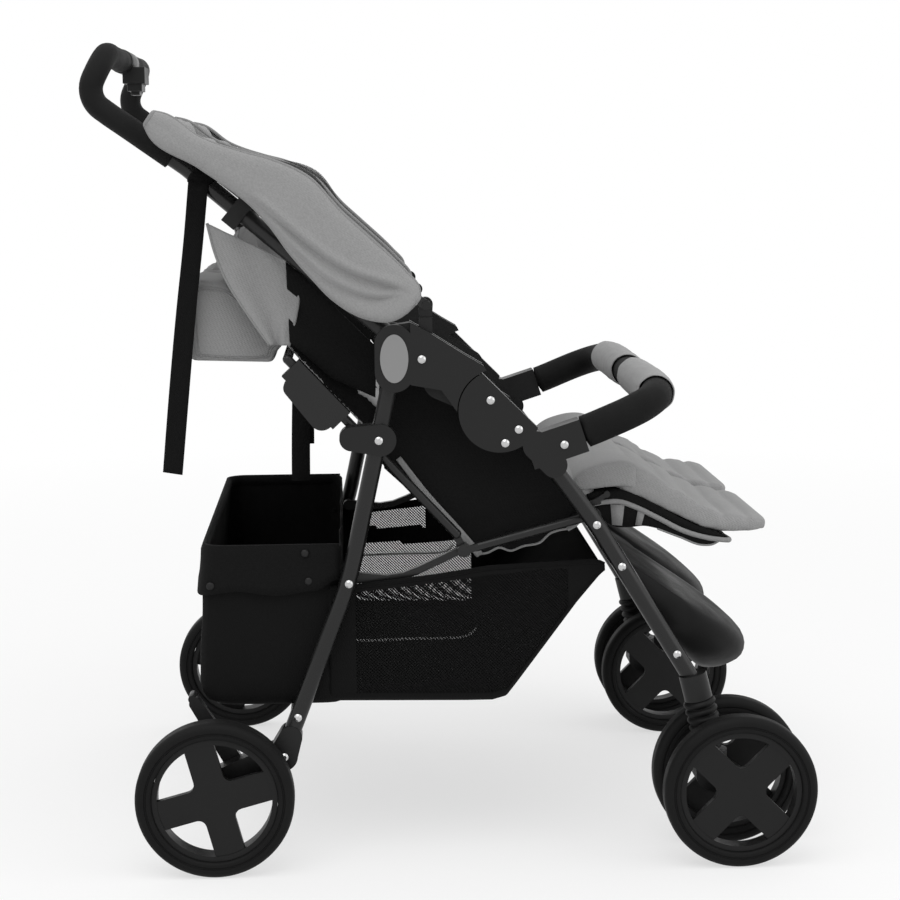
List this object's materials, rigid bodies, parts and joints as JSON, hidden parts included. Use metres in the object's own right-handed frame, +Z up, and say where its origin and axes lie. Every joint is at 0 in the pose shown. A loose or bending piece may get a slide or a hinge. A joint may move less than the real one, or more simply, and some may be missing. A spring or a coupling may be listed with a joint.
{
  "type": "twin pushchair",
  "caption": "Folding pushchair with side-by-side seats, black tube frame, swivelling front casters, folding hoods, bumper bar, foot tray and cloth basket.",
  "frame": {"origin": "centre of the footprint at floor height", "axes": "+X forward, +Y to the left seat, +Z up"},
  "size_m": [0.918, 0.756, 1.044],
  "materials": {
    "black_tube": "satin",
    "black_plastic": "fine grain",
    "wheel_plastic": "satin",
    "tyre_foam": "matt",
    "boot_rubber": "matt",
    "grip_foam": "matt foam",
    "grey_cloth": "plain weave",
    "black_cloth": "plain weave",
    "webbing": "ribbed",
    "screw_steel": "bright",
    "badge_grey": "satin"
  },
  "bodies": {
    "frame": {"push_bar": "black_tube", "grip_foam": "grip_foam", "arm_shells": "black_plastic", "hub_badges": "badge_grey", "arm_screws": "screw_steel", "handle_block": "black_plastic", "canopy_stays": "black_plastic", "canopy_cloth_r": "grey_cloth", "canopy_cloth_l": "grey_cloth", "curtain_r": "grey_cloth", "curtain_l": "grey_cloth", "wrist_strap": "webbing"},
    "trigger": {"fold_trigger": "black_plastic"},
    "hood_r": {"canopy_bow_r": "black_tube"},
    "hood_l": {"canopy_bow_l": "black_tube"},
    "front_legs": {"front_legs": "black_tube", "knuckles": "black_plastic", "front_screws": "screw_steel", "foot_tray": "black_plastic", "leg_sockets": "black_plastic", "boot_r": "boot_rubber", "boot_l": "boot_rubber"},
    "bumper": {"bumper_bar": "grip_foam", "bumper_sleeves": "grey_cloth"},
    "post_r": {"caster_post_r": "black_plastic"},
    "post_l": {"caster_post_l": "black_plastic"},
    "fork_r": {"caster_fork_r": "black_plastic"},
    "fork_l": {"caster_fork_l": "black_plastic"},
    "wheel_fro": {"tyre_fro": "tyre_foam", "rim_fro": "wheel_plastic"},
    "wheel_fri": {"tyre_fri": "tyre_foam", "rim_fri": "wheel_plastic"},
    "wheel_fli": {"tyre_fli": "tyre_foam", "rim_fli": "wheel_plastic"},
    "wheel_flo": {"tyre_flo": "tyre_foam", "rim_flo": "wheel_plastic"},
    "rear_legs": {"rear_legs": "black_tube", "rear_housings": "black_plastic", "back_hooks": "black_plastic", "rear_screws": "screw_steel", "basket_rear": "black_cloth", "basket_front": "black_cloth", "basket_collar": "black_cloth"},
    "pedal_r": {"brake_pedal_r": "black_plastic"},
    "pedal_l": {"brake_pedal_l": "black_plastic"},
    "wheel_rr": {"tyre_rr": "tyre_foam", "rim_rr": "wheel_plastic"},
    "wheel_rl": {"tyre_rl": "tyre_foam", "rim_rl": "wheel_plastic"},
    "struts": {"struts": "black_tube"},
    "seat": {"seat_rails": "black_tube", "seat_pads": "grey_cloth", "side_panels": "black_cloth"},
    "calf_r": {"leg_rest_r": "grey_cloth"},
    "calf_l": {"leg_rest_l": "grey_cloth"},
    "back_frame": {"back_tubes": "black_tube"},
    "back_r": {"backrest_r": "grey_cloth"},
    "back_l": {"backrest_l": "grey_cloth"}
  },
  "joints": [
    {"name": "fold", "type": "hinge", "parent": "frame", "child": "front_legs", "pos_m": [0.06, 0, 0.583], "axis": [0, 1, 0], "range_deg": [0, 28], "deforming": ["basket_front", "wrist_strap"]},
    {"name": "rear_fold", "type": "hinge", "parent": "frame", "child": "rear_legs", "pos_m": [-0.069, 0, 0.65], "axis": [0, -1, 0], "range_deg": [0, 14.02]},
    {"name": "strut_fold", "type": "hinge", "parent": "rear_legs", "child": "struts", "pos_m": [-0.131, 0, 0.366], "axis": [0, -1, 0], "range_deg": [0, 52.21]},
    {"name": "seat_fold", "type": "hinge", "parent": "front_legs", "child": "seat", "pos_m": [0.182, 0, 0.444], "axis": [0, 1, 0], "range_deg": [0, 24.32]},
    {"name": "back_fold", "type": "hinge", "parent": "seat", "child": "back_frame", "pos_m": [0.016, 0, 0.401], "axis": [0, -1, 0], "range_deg": [0, 60.33]},
    {"name": "recline_r", "type": "hinge", "parent": "back_frame", "child": "back_r", "pos_m": [0.016, 0, 0.401], "axis": [0, 1, 0], "range_deg": [0, 32], "deforming": ["curtain_r"]},
    {"name": "canopy_r", "type": "hinge", "parent": "frame", "child": "hood_r", "pos_m": [-0.031, 0, 0.716], "axis": [0, 1, 0], "range_deg": [0, 78], "deforming": ["canopy_cloth_r"]},
    {"name": "leg_rest_r", "type": "hinge", "parent": "seat", "child": "calf_r", "pos_m": [0.20173, 0, 0.46564], "axis": [0, -1, 0], "range_deg": [0, 25]},
    {"name": "suspension_r", "type": "slide", "parent": "front_legs", "child": "post_r", "axis": [-0.2419, 0, 0.9703], "range_m": [0, 0.012], "stiffness_N_per_m": 9000, "springref_m": -0.008, "deforming": ["boot_r"]},
    {"name": "swivel_r", "type": "hinge", "parent": "post_r", "child": "fork_r", "pos_m": [0.33, -0.314, 0.146], "axis": [0, 0, 1], "continuous": true},
    {"name": "roll_fro", "type": "hinge", "parent": "fork_r", "child": "wheel_fro", "pos_m": [0.361, -0.362, 0.098], "axis": [0, 1, 0], "continuous": true},
    {"name": "roll_fri", "type": "hinge", "parent": "fork_r", "child": "wheel_fri", "pos_m": [0.361, -0.266, 0.098], "axis": [0, 1, 0], "continuous": true},
    {"name": "roll_rr", "type": "hinge", "parent": "rear_legs", "child": "wheel_rr", "pos_m": [-0.303, -0.352, 0.1], "axis": [0, 1, 0], "continuous": true},
    {"name": "brake_r", "type": "hinge", "parent": "rear_legs", "child": "pedal_r", "pos_m": [-0.281, -0.3, 0.13], "axis": [0, -1, 0], "range_deg": [0, 15]},
    {"name": "recline_l", "type": "hinge", "parent": "back_frame", "child": "back_l", "pos_m": [0.016, 0, 0.401], "axis": [0, 1, 0], "range_deg": [0, 32], "deforming": ["curtain_l"]},
    {"name": "canopy_l", "type": "hinge", "parent": "frame", "child": "hood_l", "pos_m": [-0.031, 0, 0.716], "axis": [0, 1, 0], "range_deg": [0, 78], "deforming": ["canopy_cloth_l"]},
    {"name": "leg_rest_l", "type": "hinge", "parent": "seat", "child": "calf_l", "pos_m": [0.20173, 0, 0.46564], "axis": [0, -1, 0], "range_deg": [0, 25]},
    {"name": "suspension_l", "type": "slide", "parent": "front_legs", "child": "post_l", "axis": [-0.2419, 0, 0.9703], "range_m": [0, 0.012], "stiffness_N_per_m": 9000, "springref_m": -0.008, "deforming": ["boot_l"]},
    {"name": "swivel_l", "type": "hinge", "parent": "post_l", "child": "fork_l", "pos_m": [0.33, 0.314, 0.146], "axis": [0, 0, 1], "continuous": true},
    {"name": "roll_flo", "type": "hinge", "parent": "fork_l", "child": "wheel_flo", "pos_m": [0.361, 0.362, 0.098], "axis": [0, 1, 0], "continuous": true},
    {"name": "roll_fli", "type": "hinge", "parent": "fork_l", "child": "wheel_fli", "pos_m": [0.361, 0.266, 0.098], "axis": [0, 1, 0], "continuous": true},
    {"name": "roll_rl", "type": "hinge", "parent": "rear_legs", "child": "wheel_rl", "pos_m": [-0.303, 0.352, 0.1], "axis": [0, 1, 0], "continuous": true},
    {"name": "brake_l", "type": "hinge", "parent": "rear_legs", "child": "pedal_l", "pos_m": [-0.281, 0.3, 0.13], "axis": [0, -1, 0], "range_deg": [0, 15]},
    {"name": "bumper_out", "type": "slide", "parent": "front_legs", "child": "bumper", "axis": [0.9511, 0, 0.309], "range_m": [0, 0.06]},
    {"name": "trigger_squeeze", "type": "slide", "parent": "frame", "child": "trigger", "axis": [0, 0, 1], "range_m": [0, 0.008], "stiffness_N_per_m": 600, "springref_m": -0.003}
  ],
  "couplings": [
    {"joint": "rear_fold", "follows": "fold", "ratio": 0.5},
    {"joint": "strut_fold", "follows": "fold", "ratio": 1.864},
    {"joint": "seat_fold", "follows": "fold", "ratio": 0.868},
    {"joint": "back_fold", "follows": "fold", "ratio": 2.154}
  ]
}
